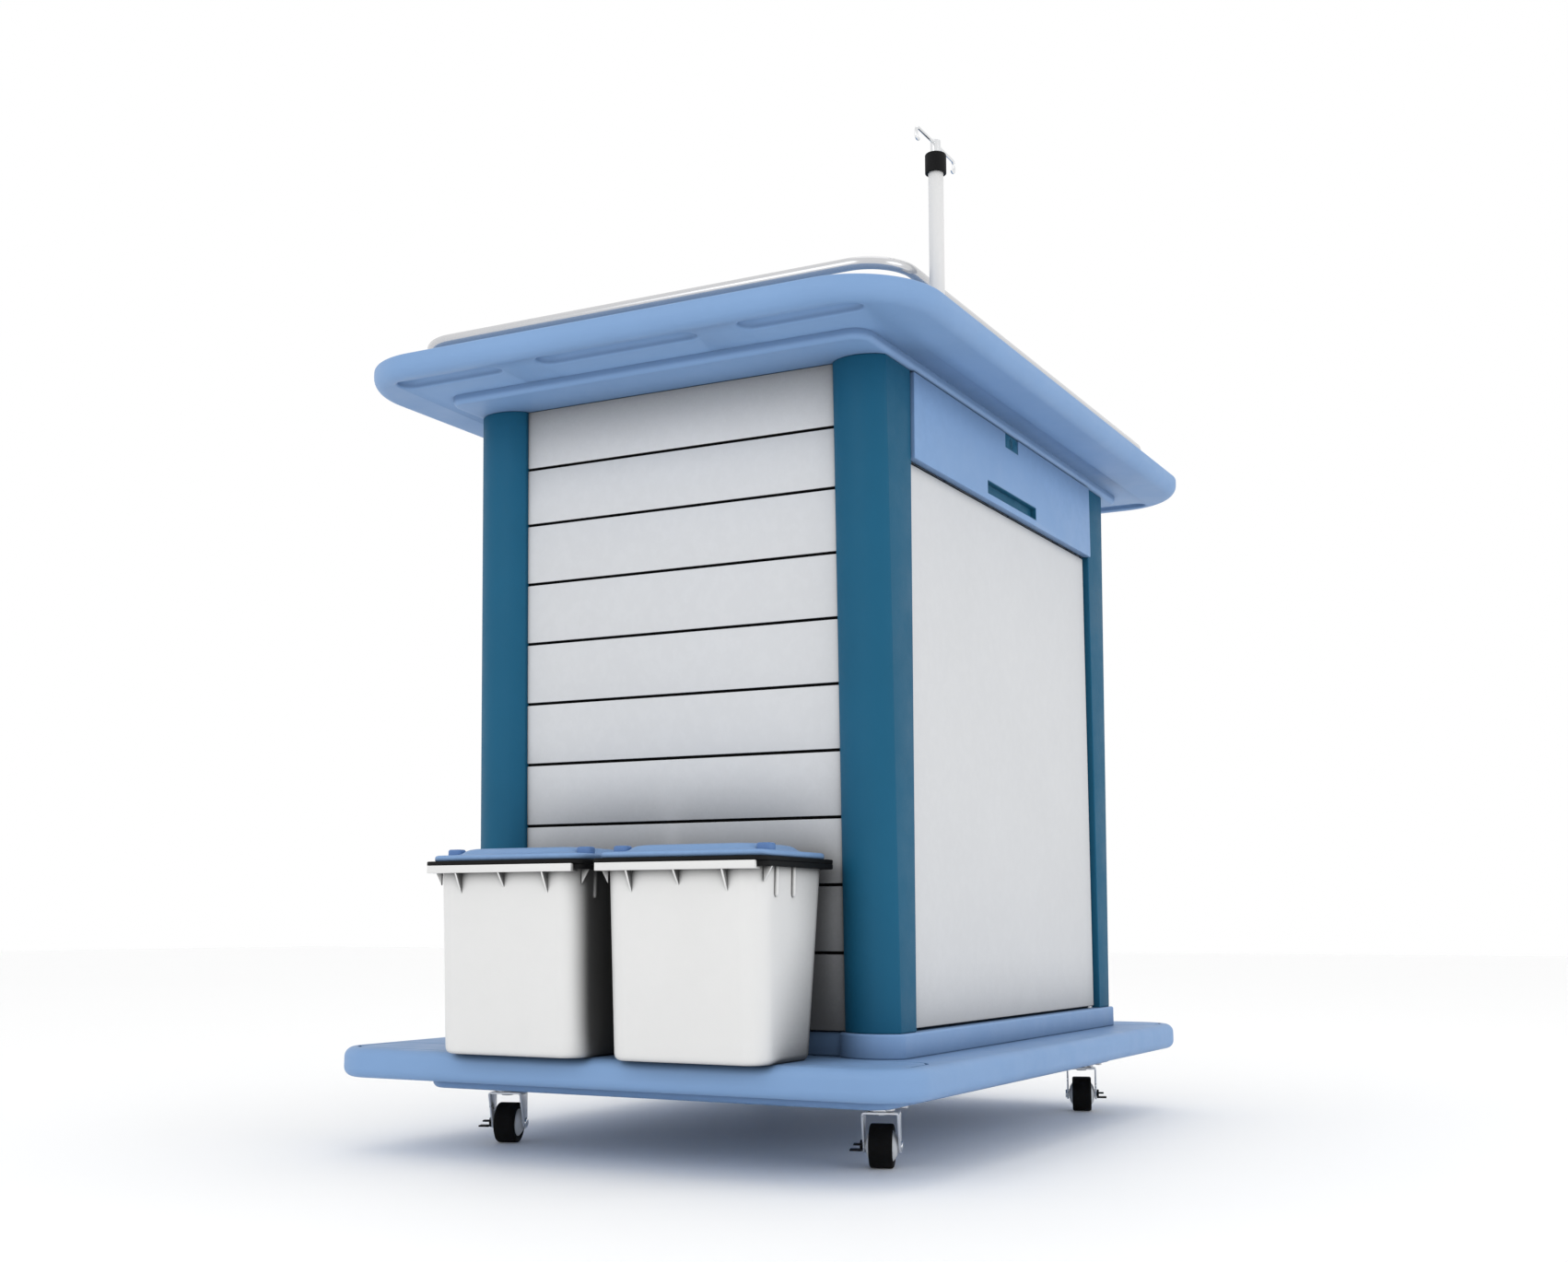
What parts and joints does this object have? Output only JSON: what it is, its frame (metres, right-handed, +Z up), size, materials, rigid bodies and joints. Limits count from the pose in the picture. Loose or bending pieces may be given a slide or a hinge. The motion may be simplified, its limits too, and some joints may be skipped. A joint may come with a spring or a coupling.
{
  "type": "medical trolley",
  "caption": "Hospital treatment trolley: cabinet with drawer and door on a castered platform, railed worktop, drip pole and two lidded bins.",
  "frame": {"origin": "middle of the overall footprint, on the floor", "axes": "+Z up; +X along the drawer side, from the bin end to the plain end; +Y from the drawer side to the back"},
  "size_m": [1.164, 0.823, 1.195],
  "materials": {
    "blue_moulding": "satin",
    "teal_column": "satin",
    "lock_metal": "satin",
    "white_panel": "satin",
    "black_trim": "matte",
    "grey_inside": "satin",
    "white_tube": "satin",
    "steel": "brushed",
    "tyre": "matte",
    "hub_grey": "satin",
    "bin_white": "satin"
  },
  "bodies": {
    "cabinet": {"deck": "blue_moulding", "under_plate": "blue_moulding", "base_frame": "steel", "pillar_front_left": "teal_column", "pillar_front_right": "teal_column", "pillar_back_left": "teal_column", "pillar_back_right": "teal_column", "end_panel_left": "white_panel", "end_panel_right": "white_panel", "groove_liners": "black_trim", "side_liners": "grey_inside", "back_panel": "white_panel", "front_frame": "steel", "shelf": "grey_inside", "shelf_pins": "steel", "worktop": "blue_moulding", "gallery_rail": "white_tube", "rail_posts": "white_tube", "pole_foot": "steel", "pole_tube": "white_tube", "runner_outer": "steel", "door_magnet": "black_trim", "door_pins": "steel", "caster_plates": "steel", "caster_bolts": "steel"},
    "pole_rod": {"pole_inner": "steel", "hook_head": "steel"},
    "collar": {"pole_collar": "black_trim"},
    "runners": {"runner_middle": "steel"},
    "drawer": {"drawer_front": "blue_moulding", "drawer_tray": "grey_inside", "drawer_pull": "teal_column", "lock_plate": "teal_column"},
    "lock": {"lock_barrel": "lock_metal"},
    "door": {"door_panel": "white_panel", "door_strike": "steel"},
    "fork_front_left": {"fork_front_left": "steel"},
    "wheel_front_left": {"tyre_front_left": "tyre", "hub_front_left": "hub_grey"},
    "brake_front_left": {"brake_front_left": "black_trim"},
    "fork_back_left": {"fork_back_left": "steel"},
    "wheel_back_left": {"tyre_back_left": "tyre", "hub_back_left": "hub_grey"},
    "brake_back_left": {"brake_back_left": "black_trim"},
    "fork_front_right": {"fork_front_right": "steel"},
    "wheel_front_right": {"tyre_front_right": "tyre", "hub_front_right": "hub_grey"},
    "brake_front_right": {"brake_front_right": "black_trim"},
    "fork_back_right": {"fork_back_right": "steel"},
    "wheel_back_right": {"tyre_back_right": "tyre", "hub_back_right": "hub_grey"},
    "brake_back_right": {"brake_back_right": "black_trim"},
    "bin_left": {"bin_body_left": "bin_white", "bin_rim_left": "black_trim", "bin_pin_left": "steel"},
    "lid_left": {"bin_lid_left": "blue_moulding"},
    "bin_right": {"bin_body_right": "bin_white", "bin_rim_right": "black_trim", "bin_pin_right": "steel"},
    "lid_right": {"bin_lid_right": "blue_moulding"}
  },
  "joints": [
    {"name": "drawer_slide", "type": "slide", "parent": "cabinet", "child": "drawer", "axis": [0, -1, 0], "range_m": [0, 0.38]},
    {"name": "runner_slide", "type": "slide", "parent": "cabinet", "child": "runners", "axis": [0, -1, 0], "range_m": [0, 0.19]},
    {"name": "lock_turn", "type": "hinge", "parent": "drawer", "child": "lock", "pos_m": [0, -0.3085, 0.938], "axis": [0, 1, 0], "range_deg": [0, 90]},
    {"name": "door_hinge", "type": "hinge", "parent": "cabinet", "child": "door", "pos_m": [0.3265, -0.2955, 0.497], "axis": [0, 0, 1], "range_deg": [0, 90]},
    {"name": "pole_slide", "type": "slide", "parent": "cabinet", "child": "pole_rod", "axis": [0, 0, 1], "range_m": [0, 0.12]},
    {"name": "collar_turn", "type": "hinge", "parent": "cabinet", "child": "collar", "pos_m": [-0.428, -0.3865, 1.165], "axis": [0, 0, 1], "range_deg": [0, 90]},
    {"name": "swivel_front_left", "type": "hinge", "parent": "cabinet", "child": "fork_front_left", "pos_m": [-0.345, -0.268, 0.068], "axis": [0, 0, 1], "continuous": true},
    {"name": "roll_front_left", "type": "hinge", "parent": "fork_front_left", "child": "wheel_front_left", "pos_m": [-0.33554, -0.26474, 0.025], "axis": [-0.3256, 0.9455, 0], "continuous": true},
    {"name": "brake_press_front_left", "type": "hinge", "parent": "fork_front_left", "child": "brake_front_left", "pos_m": [-0.33554, -0.26474, 0.025], "axis": [0.3256, -0.9455, 0], "range_deg": [0, 25]},
    {"name": "swivel_back_left", "type": "hinge", "parent": "cabinet", "child": "fork_back_left", "pos_m": [-0.345, 0.264, 0.068], "axis": [0, 0, 1], "continuous": true},
    {"name": "roll_back_left", "type": "hinge", "parent": "fork_back_left", "child": "wheel_back_left", "pos_m": [-0.33554, 0.26726, 0.025], "axis": [-0.3256, 0.9455, 0], "continuous": true},
    {"name": "brake_press_back_left", "type": "hinge", "parent": "fork_back_left", "child": "brake_back_left", "pos_m": [-0.33554, 0.26726, 0.025], "axis": [0.3256, -0.9455, 0], "range_deg": [0, 25]},
    {"name": "swivel_front_right", "type": "hinge", "parent": "cabinet", "child": "fork_front_right", "pos_m": [0.369, -0.268, 0.068], "axis": [0, 0, 1], "continuous": true},
    {"name": "roll_front_right", "type": "hinge", "parent": "fork_front_right", "child": "wheel_front_right", "pos_m": [0.37845, -0.26474, 0.025], "axis": [-0.3256, 0.9455, 0], "continuous": true},
    {"name": "brake_press_front_right", "type": "hinge", "parent": "fork_front_right", "child": "brake_front_right", "pos_m": [0.37845, -0.26474, 0.025], "axis": [0.3256, -0.9455, 0], "range_deg": [0, 25]},
    {"name": "swivel_back_right", "type": "hinge", "parent": "cabinet", "child": "fork_back_right", "pos_m": [0.369, 0.264, 0.068], "axis": [0, 0, 1], "continuous": true},
    {"name": "roll_back_right", "type": "hinge", "parent": "fork_back_right", "child": "wheel_back_right", "pos_m": [0.37845, 0.26726, 0.025], "axis": [-0.3256, 0.9455, 0], "continuous": true},
    {"name": "brake_press_back_right", "type": "hinge", "parent": "fork_back_right", "child": "brake_back_right", "pos_m": [0.37845, 0.26726, 0.025], "axis": [0.3256, -0.9455, 0], "range_deg": [0, 25]},
    {"name": "bin_lift_left", "type": "slide", "parent": "cabinet", "child": "bin_left", "axis": [-0.2588, 0, 0.9659], "range_m": [0, 0.42]},
    {"name": "lid_hinge_left", "type": "hinge", "parent": "bin_left", "child": "lid_left", "pos_m": [-0.399, 0.115, 0.357], "axis": [0, 1, 0], "range_deg": [0, 85]},
    {"name": "bin_lift_right", "type": "slide", "parent": "cabinet", "child": "bin_right", "axis": [-0.2588, 0, 0.9659], "range_m": [0, 0.42]},
    {"name": "lid_hinge_right", "type": "hinge", "parent": "bin_right", "child": "lid_right", "pos_m": [-0.399, -0.124, 0.357], "axis": [0, 1, 0], "range_deg": [0, 85]}
  ],
  "couplings": [
    {"joint": "runner_slide", "follows": "drawer_slide", "ratio": 0.5}
  ]
}
